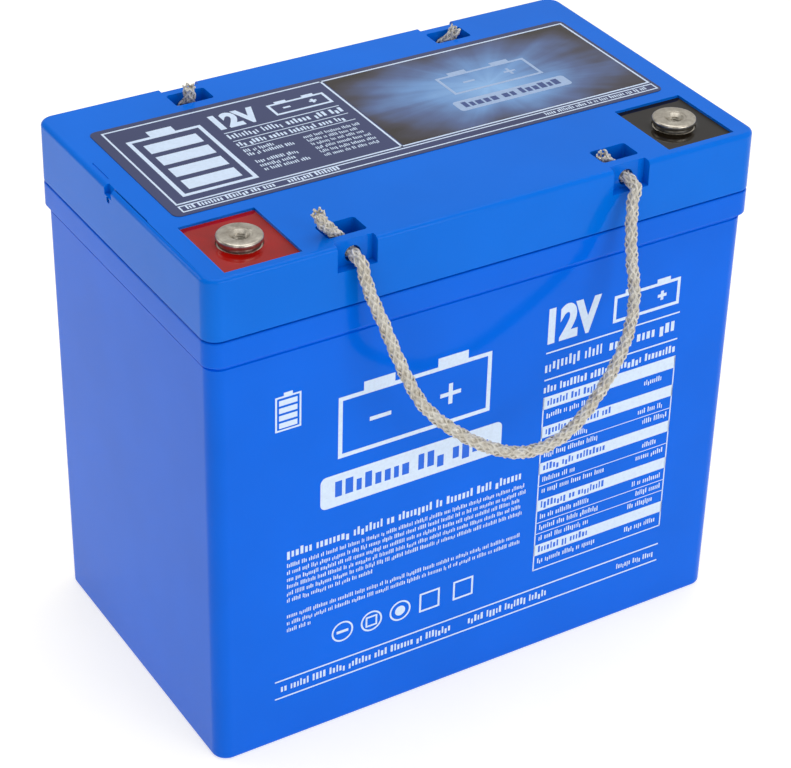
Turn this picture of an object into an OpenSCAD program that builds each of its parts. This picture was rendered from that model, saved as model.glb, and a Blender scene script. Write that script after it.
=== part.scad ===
// Sealed 12 V deep cycle battery: six cells in a moulded case, a welded lid with
// two threaded terminals, and a rope handle on each long side.
// Millimetres. +Z is up, X runs along the length, the front face looks along -Y.
// The origin is the centre of the case's footprint, on the surface it stands on.

/* [Case] */
// Overall length, at the rim and the lid
case_l = 229; // [200:1:280]
// Overall width, at the rim and the lid
case_w = 137; // [114:1:170]
// Height from the base to the lid's top face
total_h = 209; // [174:1:251]
// How far the wall stands back from the rim, just below it
wall_inset = 1.4; // [0.8:0.1:2.5]
// How far the wall has drawn in at the base
base_inset = 2.6; // [1.5:0.1:4]
// Wall thickness of the case
wall_t = 2.6; // [2:0.1:3.5]
// Thickness of the floor
floor_t = 3; // [2.5:0.1:5]
// Thickness of the partitions between cells
partition_t = 1.8; // [1.5:0.1:3]
// Radius of the upright corners
corner_r = 6; // [4:0.5:10]
// Radius along the bottom edges
foot_r = 1.5; // [1:0.1:3]
// Height of the thick rim under the lid
rim_h = 10; // [8:0.5:14]

/* [Lid] */
// Height of the lid above the case
lid_h = 24.6; // [20:0.2:30]
// Thickness of the lid's walls, top and floors
lid_t = 3; // [2.4:0.1:4]
// Radius along the lid's top edge
lid_edge_r = 1.8; // [1:0.1:2.5]
// Depth of the groove that the weld leaves between lid and case
seam_groove = 0.4; // [0.2:0.1:0.8]

/* [Terminals] */
// Distance of each terminal from the nearest end
terminal_from_end = 23.5; // [22:0.1:28]
// Distance of each terminal from the front face
terminal_from_front = 21.3; // [19:0.1:26]
// Length of the terminal well along X
well_l = 29.5; // [24:0.5:36]
// Width of the terminal well along Y
well_w = 34.5; // [28:0.5:35]
// Depth of the terminal well
well_depth = 9; // [7:0.5:11]
// How far the resin seal stays below the lid
seal_below = 1.4; // [0.8:0.1:3]
// Diameter of the terminal's head
terminal_d = 16.6; // [14:0.1:20]
// How far the terminal stands above the lid
terminal_proud = 2.2; // [1:0.1:5]
// Diameter of the terminal's stem, in the post
stem_d = 10.4; // [9:0.1:11.5]
// Diameter of the M6 thread's wall
thread_d = 5; // [4.2:0.1:6.8]
// Length of the thread's wall, below the countersink
thread_len = 10; // [8:0.5:11]
// Diameter of the countersink at the mouth of the thread
countersink_d = 8.8; // [7.5:0.1:10]
// Diameter of the lead post below the terminal
post_d = 15; // [13:0.5:17]

/* [Valves] */
// Outside diameter of the vent nozzles
nozzle_d = 11; // [8:0.5:14]
// Bore of the vent nozzles
nozzle_bore = 6; // [4:0.5:7]
// Height of the vent nozzles above the chamber floor
nozzle_h = 4.5; // [3.5:0.5:5]
// Wall thickness of the rubber valve caps
valve_wall = 2; // [1.5:0.1:2.5]
// Thickness of the vent cover plate
cover_t = 2.5; // [2:0.1:3]

/* [Label] */
// Bare lid left between the label and each end
label_end_gap = 11; // [8:0.5:20]
// Bare lid left between the label and the terminal wells
label_front_gap = 6; // [4:0.5:10]
// Bare lid left between the label and the back pockets
label_back_gap = 5; // [4:0.5:10]
// Thickness of the label
label_t = 0.25; // [0.15:0.05:0.5]
// How far the label laps over the vent cover's edge
label_lap = 5; // [4:0.5:8]

/* [Rope handles] */
// Diameter of the handle rope
rope_d = 4.6; // [4:0.1:5.5]
// Diameter of the holes the rope runs through
rope_hole_d = 6.2; // [6:0.1:7.5]
// Distance of each rope hole from the middle of the length
handle_x = 57; // [56.5:0.1:57.5]
// Thickness of lid left between a notch and its pocket
bar_t = 3.5; // [3:0.1:4]
// Width of the notches and pockets
notch_l = 15.6; // [14:0.1:17]
// Height of the notches in the lid's long faces
notch_h = 10; // [9:0.1:11]
// Depth of the notches in the lid's long faces
notch_depth = 3.5; // [3:0.1:4]
// Width of the pockets, across the lid
pocket_w = 9.5; // [9:0.1:11]
// Depth of the pockets
pocket_depth = 12; // [11:0.5:13]
// Diameter of the knot behind each rope hole
knot_d = 8.6; // [7.8:0.1:9]

/* [Plates] */
// Thickness of a positive plate
plate_pos_t = 3.2; // [2:0.1:4]
// Thickness of a negative plate
plate_neg_t = 2.2; // [1.4:0.1:3]
// Thickness of a glass mat separator
mat_t = 1.3; // [0.8:0.05:1.8]
// Free height above the straps, up to the lid
head_h = 27; // [24:1:40]
// Gap between a plate's edges and the case
plate_margin = 3; // [2:0.5:6]
// Thickness of the cast straps
strap_t = 8; // [6:0.5:10]

/* [Hidden] */

$fn = 64;
eps = 0.01;
cut = 1; // how far a cutting shape runs past the face it opens

// Heights
seam_z = total_h - lid_h;
rim_z = seam_z - rim_h;

// Cells
cell_count = 6;
inner_l = case_l - 2 * base_inset - 2 * wall_t;
inner_w = case_w - 2 * base_inset - 2 * wall_t;
cell_l = (inner_l - (cell_count - 1) * partition_t) / cell_count;
cell_r = 2;
function cell_x(i) = -inner_l / 2 + cell_l / 2 + (i - 1) * (cell_l + partition_t);

// Terminals
terminal_x = case_l / 2 - terminal_from_end;
terminal_y = -case_w / 2 + terminal_from_front;
terminal_top = total_h + terminal_proud;
countersink_h = (countersink_d - thread_d) / 2;
thread_z = terminal_top - countersink_h - thread_len;
rim_bevel = 0.8;
well_z = total_h - well_depth;
head_z = well_z + 1.6;
stem_z = thread_z - 3;
post_top = well_z - 0.4;
post_gap = 0.3;
o_ring_t = 2.4;
boss_d = post_d + 11;
boss_z = well_z - lid_t - 6;
well_wall = 2.4;

// Plates, straps and the welds through the partitions.
// A cell takes as many plates as its length has room for.
plate_z = floor_t + 4;
lug_h = 10;
lug_w = 12;
strap_w = 16;
strap_y = -terminal_y;
strap_z = seam_z - head_h - strap_t;
plate_h = strap_z - lug_h - plate_z;
plate_w = inner_w - 2 * plate_margin;
plate_pitch = plate_pos_t + plate_neg_t + 2 * mat_t;
pack_gap = 0.3;
plates_pos = floor((cell_l - plate_neg_t - 2 * pack_gap) / plate_pitch);
pack_l = plates_pos * plate_pitch + plate_neg_t;
mat_over = 2;
mat_gap = 0.02; // between a mat and the plate on each side of it
flag_t = 3;
flag_h = 18;
weld_d = 11;
weld_z = strap_z + flag_h - weld_d / 2 - 0.5;
// Sign of Y at which a cell's positive strap stands; it swaps from cell to cell
function positive_side(i) = i % 2 == 1 ? -1 : 1;

// Rope handles. A hinge stands where each rope bends down, just outside its notch.
rope_r = rope_d / 2;
rope_sides = 10;
hole_z = total_h - 6;
bar_y = case_w / 2 - notch_depth - bar_t;
pocket_y = bar_y - pocket_w / 2;
pocket_r = 1.2;
// A knot rests on the rim of its hole, a hair away from the bar
knot_gap = 0.1;
knot_y = bar_y - sqrt(pow(knot_d / 2, 2) - pow(rope_hole_d / 2, 2)) - knot_gap;
// The hanging loop of the front handle, from its left hinge to its right one
front_loop = [[-57, -71.5, 201.5], [-56.5, -73.5, 196], [-55, -76, 189], [-53, -79, 182],
    [-51, -82, 174], [-49, -84.5, 167], [-46.5, -87, 159.5], [-43, -90, 151.5],
    [-37.5, -92.5, 144.5], [-31, -95, 138.5], [-24, -97, 133], [-16.5, -98.5, 128.5],
    [-8, -99.5, 125], [1, -100, 124], [9.5, -99.5, 125], [17, -98.5, 128], [24, -97, 132.5],
    [30, -95.5, 137.5], [36, -93.5, 143], [41, -91.5, 148.5], [45.5, -89, 155],
    [48.5, -86.5, 162], [50, -84, 169], [50.5, -81, 177], [51.5, -78, 186],
    [53, -75.5, 193], [55, -73, 198.5], [57, -71.5, 201.5]];
// The rope's ends, each from its tip, through the knot and the hole, to the notch
front_left_end = [[-68, -60, 219.5], [-66.5, -59.8, 216], [-64.5, -59.4, 213],
    [-62, -58.8, 210.3], [-59.5, -58.4, 207.3], [-57.6, -59, 204.6],
    [-57, -61.5, 203.2], [-57, -65, 203], [-57, -67.9, 202.9]];
front_right_end = [[51.5, -57, 210], [53, -57, 207.8], [55, -57.6, 205.4],
    [56.6, -59, 203.8], [57, -61.5, 203.1], [57, -65, 203], [57, -67.9, 202.9]];
back_left_end = [[-58, 55.5, 214], [-57.6, 56, 211], [-57, 57.3, 208],
    [-57, 58.8, 205.2], [-57, 61.5, 203.3], [-57, 65, 203], [-57, 67.9, 202.9]];
back_right_end = [[60.5, 56.5, 211.5], [59, 57, 209], [57.8, 57.8, 206.3],
    [57, 59.2, 204.2], [57, 61.5, 203.2], [57, 65, 203], [57, 67.9, 202.9]];
function mirror_y(points) = [for (p = points) [p.x, -p.y, p.z]];

// The label lies between the wells and the back pockets, over the cover of the valve chamber
label_l = case_l - 2 * label_end_gap;
label_y0 = terminal_y + well_w / 2 + label_front_gap;
label_y1 = pocket_y - pocket_w / 2 - label_back_gap;
label_w = label_y1 - label_y0;
label_r = 3;
chamber_y = (label_y0 + label_y1) / 2;
cover_l = label_l - 2 * label_lap;
cover_w = label_w - 2 * label_lap;
cover_ledge = 3.5;
chamber_l = cover_l - 2 * cover_ledge;
chamber_w = cover_w - 2 * cover_ledge;
chamber_r = 3;
chamber_z = total_h - 12;
valve_gap = 0.8; // between a valve cap and the chamber's floor and end walls
valve_d = nozzle_d + 2 * valve_wall;
// The valves stand evenly between the chamber's ends, each over its own cell
valve_pitch = (chamber_l - valve_d - 2 * valve_gap) / (cell_count - 1);
function valve_x(i) = (i - (cell_count + 1) / 2) * valve_pitch;
valve_top = chamber_z + nozzle_h + valve_wall;
pin_d = 5;
vent_d = 2.4;
vent_y = 7;
vent_notch = [2, 5.5, 3.6];

blue = "#1565dc";
blue_light = "#2c76e0";
lead = "#8f9296";
rope_tan = "#b9b3a4";

// ---- Shared shapes ----

module rounded_plate(l, w, h, r) {
    linear_extrude(h) rounded_outline(l, w, r);
}

// A rectangle with true arcs at its corners
module rounded_outline(l, w, r) {
    square([l - 2 * r, w], center = true);
    square([l, w - 2 * r], center = true);
    for (x = [-1, 1], y = [-1, 1]) translate([x * (l / 2 - r), y * (w / 2 - r)]) circle(r);
}

module block(l, w, z0, z1) {
    translate([-l / 2, -w / 2, z0]) cube([l, w, z1 - z0]);
}

// A bar along X whose two long top edges are rounded
module top_rounded_bar(l, w, h, r) {
    rotate([90, 0, 90]) linear_extrude(l, center = true) {
        translate([-w / 2, 0]) square([w, h - r]);
        translate([-w / 2 + r, 0]) square([w - 2 * r, h]);
        for (s = [-1, 1]) translate([s * (w / 2 - r), h - r]) circle(r);
    }
}

function unit(v) = v / norm(v);
function tangent(p, i) = unit(p[min(i + 1, len(p) - 1)] - p[max(i - 1, 0)]);
function ring(p, i, ref) = let (t = tangent(p, i), u = unit(cross(t, ref)), v = cross(t, u))
    [for (k = [0:rope_sides - 1]) let (a = 360 * k / rope_sides)
        p[i] + rope_r * (cos(a) * u + sin(a) * v)];

// A round rope swept along a list of points; ref is a direction the route never takes
module rope(points, ref) {
    n = rope_sides;
    last = len(points) - 1;
    polyhedron(
        points = [for (i = [0:last]) each ring(points, i, ref)],
        faces = concat(
            [[for (k = [0:n - 1]) k]],
            [for (i = [0:last - 1], k = [0:n - 1])
                each [[i * n + k, (i + 1) * n + k, (i + 1) * n + (k + 1) % n],
                    [i * n + k, (i + 1) * n + (k + 1) % n, i * n + (k + 1) % n]]],
            [[for (k = [n - 1:-1:0]) last * n + k]]));
}

// ---- Case ----

// Places its children at the centres of the upright corners of a wall set in by inset
module at_corners(inset) {
    for (x = [-1, 1], y = [-1, 1])
        translate([x * (case_l / 2 - inset - corner_r), y * (case_w / 2 - inset - corner_r), 0]) children();
}

module case_wall() {
    // Draws in from the rim to the base, with rounded bottom edges
    hull() {
        at_corners(base_inset) {
            cylinder(r = corner_r - foot_r, h = 1, $fn = 32);
            translate([0, 0, foot_r]) cylinder(r = corner_r, h = 1, $fn = 32);
        }
        at_corners(wall_inset) translate([0, 0, rim_z]) cylinder(r = corner_r, h = 1, $fn = 32);
    }
}

module case() {
    color(blue) difference() {
        union() {
            case_wall();
            translate([0, 0, rim_z]) rounded_plate(case_l, case_w, rim_h, corner_r);
        }
        for (i = [1:cell_count])
            translate([cell_x(i), 0, floor_t])
                rounded_plate(cell_l, inner_w, seam_z - floor_t + cut, cell_r);
        // Holes for the welds between neighbouring cells
        for (i = [1:cell_count - 1])
            translate([cell_x(i) + cell_l / 2 - cut, -positive_side(i) * strap_y, weld_z])
                rotate([0, 90, 0]) cylinder(d = weld_d, h = partition_t + 2 * cut);
        // Bevel that the weld seam leaves along the rim
        seam_bevel(seam_z);
    }
}

// A shallow square groove round the outside, centred on height z
module seam_bevel(z) {
    translate([0, 0, z - seam_groove]) difference() {
        rounded_plate(case_l + 2 * cut, case_w + 2 * cut, 2 * seam_groove, corner_r);
        translate([0, 0, -cut]) rounded_plate(case_l - 2 * seam_groove, case_w - 2 * seam_groove,
            2 * seam_groove + 2 * cut, corner_r - seam_groove);
    }
}

// ---- Lid ----

module lid_outside() {
    translate([0, 0, seam_z]) intersection() {
        rounded_plate(case_l, case_w, lid_h, corner_r);
        top_rounded_bar(case_l, case_w, lid_h, lid_edge_r);
        rotate(90) top_rounded_bar(case_w, case_l, lid_h, lid_edge_r);
    }
}

// Everything inside the lid that stays solid round the wells, pockets and valve chamber
module lid_bosses() {
    translate([0, chamber_y, chamber_z - lid_t])
        rounded_plate(chamber_l + 2 * lid_t, chamber_w + 2 * lid_t, total_h - chamber_z + lid_t, chamber_r);
    for (s = [-1, 1]) translate([s * terminal_x, terminal_y, 0]) {
        block(well_l + 2 * well_wall, well_w + 2 * well_wall, well_z - lid_t, total_h);
        translate([0, 0, boss_z]) cylinder(d = boss_d, h = well_z - boss_z);
    }
    for (sx = [-1, 1], sy = [-1, 1]) translate([sx * handle_x, sy * (case_w / 2 - notch_depth), 0])
        block(notch_l + 2 * lid_t, 2 * (bar_t + pocket_w + lid_t), total_h - pocket_depth - lid_t, total_h);
}

module lid_hollow() {
    difference() {
        for (i = [1:cell_count])
            translate([cell_x(i), 0, seam_z - cut])
                rounded_plate(cell_l, inner_w, lid_h - lid_t + cut, cell_r);
        lid_bosses();
    }
}

module handle_station() {
    // The notch in the long face, the hole through the bar and the pocket behind it
    translate([-notch_l / 2, -case_w / 2 - cut, total_h - notch_h])
        cube([notch_l, notch_depth + cut, notch_h + cut]);
    translate([0, -case_w / 2, hole_z]) rotate([-90, 0, 0])
        cylinder(d = rope_hole_d, h = notch_depth + bar_t + pocket_w / 2);
    translate([0, -pocket_y, total_h - pocket_depth])
        rounded_plate(notch_l, pocket_w, pocket_depth + cut, pocket_r);
}

module terminal_well() {
    block(well_l, well_w, well_z, total_h + cut);
    translate([0, 0, boss_z - cut]) cylinder(d = post_d + 2 * post_gap, h = well_z - boss_z + 2 * cut);
    translate([0, 0, boss_z - cut]) cylinder(d = post_d + 2 * o_ring_t, h = o_ring_t + cut);
}

module vent_outlet() {
    // From the chamber to a small notch in the left edge
    translate([-case_l / 2 - cut, vent_y, total_h - cover_t - vent_d])
        rotate([0, 90, 0]) cylinder(d = vent_d, h = (case_l - chamber_l) / 2 + 2 * cut);
    translate([-case_l / 2 - cut, vent_y - vent_notch.y / 2, total_h - vent_notch.z])
        cube([vent_notch.x + cut, vent_notch.y, vent_notch.z + cut]);
}

module lid() {
    color(blue_light) {
        difference() {
            lid_outside();
            lid_hollow();
            seam_bevel(seam_z);
            translate([0, chamber_y, chamber_z])
                rounded_plate(chamber_l, chamber_w, total_h, chamber_r);
            translate([0, chamber_y, total_h - cover_t])
                rounded_plate(cover_l, cover_w, total_h, chamber_r);
            for (s = [-1, 1]) translate([s * terminal_x, terminal_y, 0]) terminal_well();
            for (s = [-1, 1]) translate([s * handle_x, 0, 0]) {
                handle_station();
                mirror([0, 1, 0]) handle_station();
            }
            vent_outlet();
            for (i = [1:cell_count]) translate([valve_x(i), chamber_y, chamber_z - lid_t - cut])
                cylinder(d = nozzle_bore, h = lid_t + 2 * cut);
        }
        for (i = [1:cell_count]) translate([valve_x(i), chamber_y, chamber_z - eps]) difference() {
            cylinder(d = nozzle_d, h = nozzle_h + eps);
            translate([0, 0, -cut]) cylinder(d = nozzle_bore, h = nozzle_h + 2 * cut);
        }
    }
}

// ---- Vent cover, valve caps and label ----

module vent_cover() {
    color(blue_light) translate([0, chamber_y, 0]) {
        translate([0, 0, total_h - cover_t])
            rounded_plate(cover_l, cover_w, cover_t, chamber_r);
        // Pins that hold the valve caps down
        for (i = [1:cell_count]) translate([valve_x(i), 0, valve_top])
            cylinder(d = pin_d, h = total_h - cover_t - valve_top + eps);
    }
}

module valve_cap(i) {
    color("#26272a") translate([valve_x(i), chamber_y, 0]) difference() {
        translate([0, 0, chamber_z + valve_gap])
            cylinder(d = valve_d, h = valve_top - chamber_z - valve_gap);
        translate([0, 0, chamber_z]) cylinder(d = nozzle_d, h = nozzle_h);
    }
}

module top_label() {
    color("#434f77") translate([0, chamber_y, total_h]) rounded_plate(label_l, label_w, label_t, label_r);
}

// ---- Terminals ----

module terminal() {
    color("#c9c8c2") difference() {
        union() {
            translate([0, 0, head_z]) cylinder(d = terminal_d, h = terminal_top - head_z - rim_bevel);
            translate([0, 0, terminal_top - rim_bevel])
                cylinder(d1 = terminal_d, d2 = terminal_d - 2 * rim_bevel, h = rim_bevel);
            translate([0, 0, stem_z]) cylinder(d = stem_d, h = head_z - stem_z + eps);
        }
        translate([0, 0, thread_z]) cylinder(d = thread_d, h = terminal_top - thread_z + cut);
        translate([0, 0, terminal_top - countersink_h])
            cylinder(d1 = thread_d, d2 = countersink_d + 2 * eps, h = countersink_h + eps);
    }
}

module seal() {
    difference() {
        block(well_l, well_w, well_z, total_h - seal_below);
        translate([0, 0, head_z]) cylinder(d = terminal_d, h = well_depth);
        translate([0, 0, well_z - cut]) cylinder(d = stem_d, h = head_z - well_z + 2 * cut);
    }
}

module post() {
    color(lead) difference() {
        translate([0, 0, strap_z + strap_t]) cylinder(d = post_d, h = post_top - strap_z - strap_t);
        translate([0, 0, stem_z]) cylinder(d = stem_d, h = post_top);
    }
}

module o_ring() {
    color("#202124") translate([0, 0, boss_z + o_ring_t / 2])
        rotate_extrude() translate([(post_d + o_ring_t) / 2, 0]) circle(d = o_ring_t, $fn = 32);
}

module at_terminal(side) {
    translate([side * terminal_x, terminal_y, 0]) children();
}

// ---- Cells ----

// One stack of plates of one polarity, with lugs and the strap cast onto them
module plate_group(count, t, first_x, side) {
    for (k = [0:count - 1]) translate([first_x + k * plate_pitch, 0, plate_z]) {
        translate([0, -plate_w / 2, 0]) cube([t, plate_w, plate_h]);
        translate([0, side * strap_y - lug_w / 2, plate_h - eps]) cube([t, lug_w, lug_h + 2 * eps]);
    }
    translate([-pack_l / 2, side * strap_y - strap_w / 2, strap_z]) cube([pack_l, strap_w, strap_t]);
}

// The upright flag of a strap, against the partition on the side that dir points to
module strap_flag(side, dir) {
    translate([dir * (cell_l - flag_t) / 2 - flag_t / 2, side * strap_y - strap_w / 2, strap_z])
        cube([flag_t, strap_w, flag_h]);
    // Bridges the gap between the strap's end and the flag
    translate([dir > 0 ? pack_l / 2 - flag_t : -cell_l / 2, side * strap_y - strap_w / 2, strap_z])
        cube([(cell_l - pack_l) / 2 + flag_t, strap_w, strap_t]);
}

module positive_plates(i) {
    side = positive_side(i);
    color("#6b4a3a") translate([cell_x(i), 0, 0]) {
        plate_group(plates_pos, plate_pos_t, -pack_l / 2 + plate_neg_t + mat_t, side);
        if (i > 1) strap_flag(side, -1);
    }
}

module negative_plates(i) {
    side = -positive_side(i);
    color(lead) translate([cell_x(i), 0, 0]) {
        plate_group(plates_pos + 1, plate_neg_t, -pack_l / 2, side);
        if (i < cell_count) strap_flag(side, 1);
    }
}

module separators(i) {
    // One mat on each side of every positive plate, standing on the case's floor
    color("#f2f2ee") translate([cell_x(i) - pack_l / 2 + plate_neg_t, -plate_w / 2 - mat_over / 2, floor_t])
        for (k = [0:plates_pos - 1], x = [0, mat_t + plate_pos_t])
            translate([k * plate_pitch + x + mat_gap, 0, 0])
                cube([mat_t - 2 * mat_gap, plate_w + mat_over, plate_z + plate_h + mat_over - floor_t]);
}

module intercell_welds() {
    color(lead) for (i = [1:cell_count - 1])
        translate([cell_x(i) + cell_l / 2, -positive_side(i) * strap_y, weld_z])
            rotate([0, 90, 0]) cylinder(d = weld_d, h = partition_t);
}

// ---- Rope handles ----

module rope_end(points) {
    rope(points, [1, 0, 0]);
    // The knot sits behind the hole, in the pocket
    translate([sign(points[0].x) * handle_x, sign(points[0].y) * knot_y, hole_z]) sphere(d = knot_d, $fn = 32);
}

module front_rope_handle() {
    color(rope_tan) rope(front_loop, [0, 1, -0.35]);
}

module back_rope_handle() {
    color(rope_tan) rope(mirror_y(front_loop), [0, 1, 0.35]);
}

module front_rope_ends() {
    color(rope_tan) for (points = [front_left_end, front_right_end]) rope_end(points);
}

module back_rope_ends() {
    color(rope_tan) for (points = [back_left_end, back_right_end]) rope_end(points);
}

case();
lid();
vent_cover();
top_label();
at_terminal(-1) terminal();  // positive_terminal
at_terminal(1) terminal();  // negative_terminal
color("#c03020") at_terminal(-1) seal();  // positive_seal
color("#1d1a18") at_terminal(1) seal();  // negative_seal
at_terminal(-1) post();  // positive_post
at_terminal(1) post();  // negative_post
at_terminal(-1) o_ring();  // positive_o_ring
at_terminal(1) o_ring();  // negative_o_ring
for (i = [1:cell_count]) {
    valve_cap(i);
    positive_plates(i);
    negative_plates(i);
    separators(i);
}
intercell_welds();
front_rope_handle();
front_rope_ends();
back_rope_handle();
back_rope_ends();
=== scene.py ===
"""Sealed 12 V deep cycle battery, built round its packed CAD frame as an add-on script.

Metres throughout; sizes that a user may change are in millimetres in the property groups.
"""

import math
import random

import bmesh
import bpy
from bpy.props import FloatProperty, FloatVectorProperty, IntProperty, PointerProperty
from mathutils import Matrix, Vector


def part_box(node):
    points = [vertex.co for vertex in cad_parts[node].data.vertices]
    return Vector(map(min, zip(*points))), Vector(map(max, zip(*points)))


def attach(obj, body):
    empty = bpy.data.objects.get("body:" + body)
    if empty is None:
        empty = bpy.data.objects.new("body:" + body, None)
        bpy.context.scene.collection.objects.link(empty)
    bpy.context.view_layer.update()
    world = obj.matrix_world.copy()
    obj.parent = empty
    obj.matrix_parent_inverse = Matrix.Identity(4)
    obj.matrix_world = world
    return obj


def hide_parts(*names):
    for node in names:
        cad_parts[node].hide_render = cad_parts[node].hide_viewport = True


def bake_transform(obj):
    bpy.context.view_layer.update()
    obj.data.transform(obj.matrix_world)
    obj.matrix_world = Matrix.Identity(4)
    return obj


bl_info = {
    "name": "Deep Cycle Battery",
    "version": (1, 0, 0),
    "blender": (4, 5, 0),
    "location": "View3D > Sidebar > Battery",
    "description": "Builds a sealed deep cycle battery, with rope handles, round its CAD frame",
    "category": "Add Mesh",
}

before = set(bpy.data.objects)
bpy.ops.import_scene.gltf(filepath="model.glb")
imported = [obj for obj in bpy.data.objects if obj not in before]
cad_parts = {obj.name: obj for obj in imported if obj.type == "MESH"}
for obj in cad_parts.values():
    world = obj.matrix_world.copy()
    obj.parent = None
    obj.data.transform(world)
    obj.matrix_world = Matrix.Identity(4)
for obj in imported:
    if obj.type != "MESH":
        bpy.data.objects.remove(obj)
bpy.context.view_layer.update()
MM = 0.001

CASE_LOW, CASE_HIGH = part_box("case")
LID_LOW, LID_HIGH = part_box("lid")
LABEL_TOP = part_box("top_label")[1].z
COVER_LOW, COVER_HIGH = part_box("vent_cover")
CHAMBER_FLOOR = LID_HIGH.z - 12 * MM
COVER_CORNER = 3 * MM
STATIONS = (-57 * MM, 57 * MM)  # where the rope holes are along the lid
CELLS = 6


def srgb(code):
    """Linear colour of an sRGB hex value."""
    levels = [int(code[i:i + 2], 16) / 255 for i in (1, 3, 5)]
    return tuple(c / 12.92 if c <= 0.04045 else ((c + 0.055) / 1.055) ** 2.4 for c in levels)


# ---- Settings ----

def millimetres(name, description, default):
    """A size setting, kept in millimetres."""
    return FloatProperty(name=name, description=description, default=default)


def colour(name, description, code):
    """A colour setting whose default is an sRGB hex value."""
    return FloatVectorProperty(name=name, description=description, default=srgb(code), subtype="COLOR",
                               size=3, min=0, max=1)


class BatteryShape(bpy.types.PropertyGroup):
    """Sizes of the moulded parts, in millimetres."""
    corner_radius: millimetres("Corner Radius", "Radius of the upright corners", 6)
    wall_inset: millimetres("Wall Inset", "How far the wall stands back under the rim", 1.4)
    base_inset: millimetres("Base Inset", "How far the wall has drawn in at the base", 2.6)
    foot_radius: millimetres("Foot Radius", "Radius along the bottom edges", 1.5)
    rim_height: millimetres("Rim Height", "Height of the thick rim under the lid", 10)
    rim_round: millimetres("Rim Rounding", "Radius of the rim's lower edge", 0.7)
    seam_round: millimetres("Seam Rounding", "Radius of the two edges that meet at the weld", 0.8)
    lid_edge_radius: millimetres("Lid Edge Radius", "Radius along the lid's top edge", 1.8)
    edge_radius: millimetres("Moulded Edge", "Radius of small moulded edges", 0.45)
    wall: millimetres("Wall", "Wall thickness of the case", 2.6)
    partition: millimetres("Partition", "Thickness of the partitions between cells", 1.8)
    lid_wall: millimetres("Lid Wall", "Thickness of the lid's walls and floors", 3)
    notch_length: millimetres("Notch Length", "Width of the rope notches and pockets", 15.6)
    notch_height: millimetres("Notch Height", "Height of the rope notches", 10)
    notch_depth: millimetres("Notch Depth", "Depth of the rope notches", 3.5)
    bar: millimetres("Bar", "Thickness of lid between a notch and its pocket", 3.5)
    pocket_width: millimetres("Pocket Width", "Width of the pockets across the lid", 9.5)
    pocket_depth: millimetres("Pocket Depth", "Depth of the pockets", 12)
    ledge: millimetres("Cover Ledge", "Width of the ledge that the vent cover lies on", 3.5)
    hole: millimetres("Rope Hole", "Diameter of the rope holes", 6.2)


class BatteryRope(bpy.types.PropertyGroup):
    """The two rope handles."""
    diameter: millimetres("Rope Diameter", "Diameter of the braided rope, in millimetres", 4.6)
    lay: millimetres("Braid Lay", "Length in which a strand goes once round the rope, in millimetres", 22.5)
    strands: IntProperty(name="Strands", description="Strands in the braid, half each way", default=12)


class BatteryColours(bpy.types.PropertyGroup):
    """Colours of the finishes."""
    case: colour("Case Blue", "Pigment of the case", "#0062dc")
    lid: colour("Lid Blue", "Pigment of the lid", "#0069d8")
    label: colour("Label", "Ground of the printed label", "#333b63")
    ink: colour("Ink", "Pale ink of the prints", "#cfe0f6")
    red: colour("Red Resin", "Resin of the positive well", "#9a0c06")
    black: colour("Black Resin", "Resin of the negative well", "#18120c")
    rope: colour("Rope", "Yarn of the handles", "#dad7cf")


class BatteryStage(bpy.types.PropertyGroup):
    """Camera and light."""
    azimuth: FloatProperty(name="Azimuth", description="Camera's angle round the object, in degrees",
                           default=-32.6)
    elevation: FloatProperty(name="Elevation", description="Camera's angle above the horizon, in degrees",
                             default=30.31)
    roll: FloatProperty(name="Roll", description="Camera's roll, in degrees", default=1.85)
    distance: FloatProperty(name="Distance", description="Camera's distance", default=0.98747, unit="LENGTH")
    lens: FloatProperty(name="Focal Length", description="Camera's focal length, in millimetres",
                        default=115.15)
    world: FloatProperty(name="Room Light", description="Strength of the light from the room", default=0.62)


# ---- Small tools ----

def deg(angle):
    """An angle in radians."""
    return math.radians(angle)


def shape_mm(context):
    """The shape settings in metres, by name."""
    group = context.scene.battery_shape
    return {key: getattr(group, key) * MM for key in group.__annotations__}


def add_node(tree, kind, inputs=None, settings=None, stops=()):
    """Adds a shader node; an input is a value, or a socket or node to link from; stops are a ramp's."""
    node = tree.nodes.new("ShaderNode" + kind)
    for key, value in (settings or {}).items():
        setattr(node, key, value)
    for key, value in (inputs or {}).items():
        if isinstance(value, bpy.types.Node):
            value = value.outputs[0]
        if isinstance(value, bpy.types.NodeSocket):
            tree.links.new(value, node.inputs[key])
        else:
            node.inputs[key].default_value = value
    if stops:
        elements = node.color_ramp.elements
        elements[0].position, elements[0].color = stops[0]
        elements[1].position, elements[1].color = stops[-1]
        for position, value in stops[1:-1]:
            elements.new(position).color = value
    return node


def rgba(tint, factor=1.0):
    """A shader colour from a linear colour or an sRGB hex value, times a factor."""
    linear = srgb(tint) if isinstance(tint, str) else tint
    return (*(level * factor for level in linear), 1)


def per_mm(size):
    """Scale of a pattern whose spots are the given number of millimetres across."""
    return 1 / (size * MM)


def make_piece(name, bm, material, body, sharp=30):
    """Turns a bmesh into a finished piece that rides on a body."""
    bmesh.ops.recalc_face_normals(bm, faces=bm.faces)
    mesh = bpy.data.meshes.new(name)
    bm.to_mesh(mesh)
    bm.free()
    return place_mesh(name, mesh, material, body, sharp)


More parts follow.
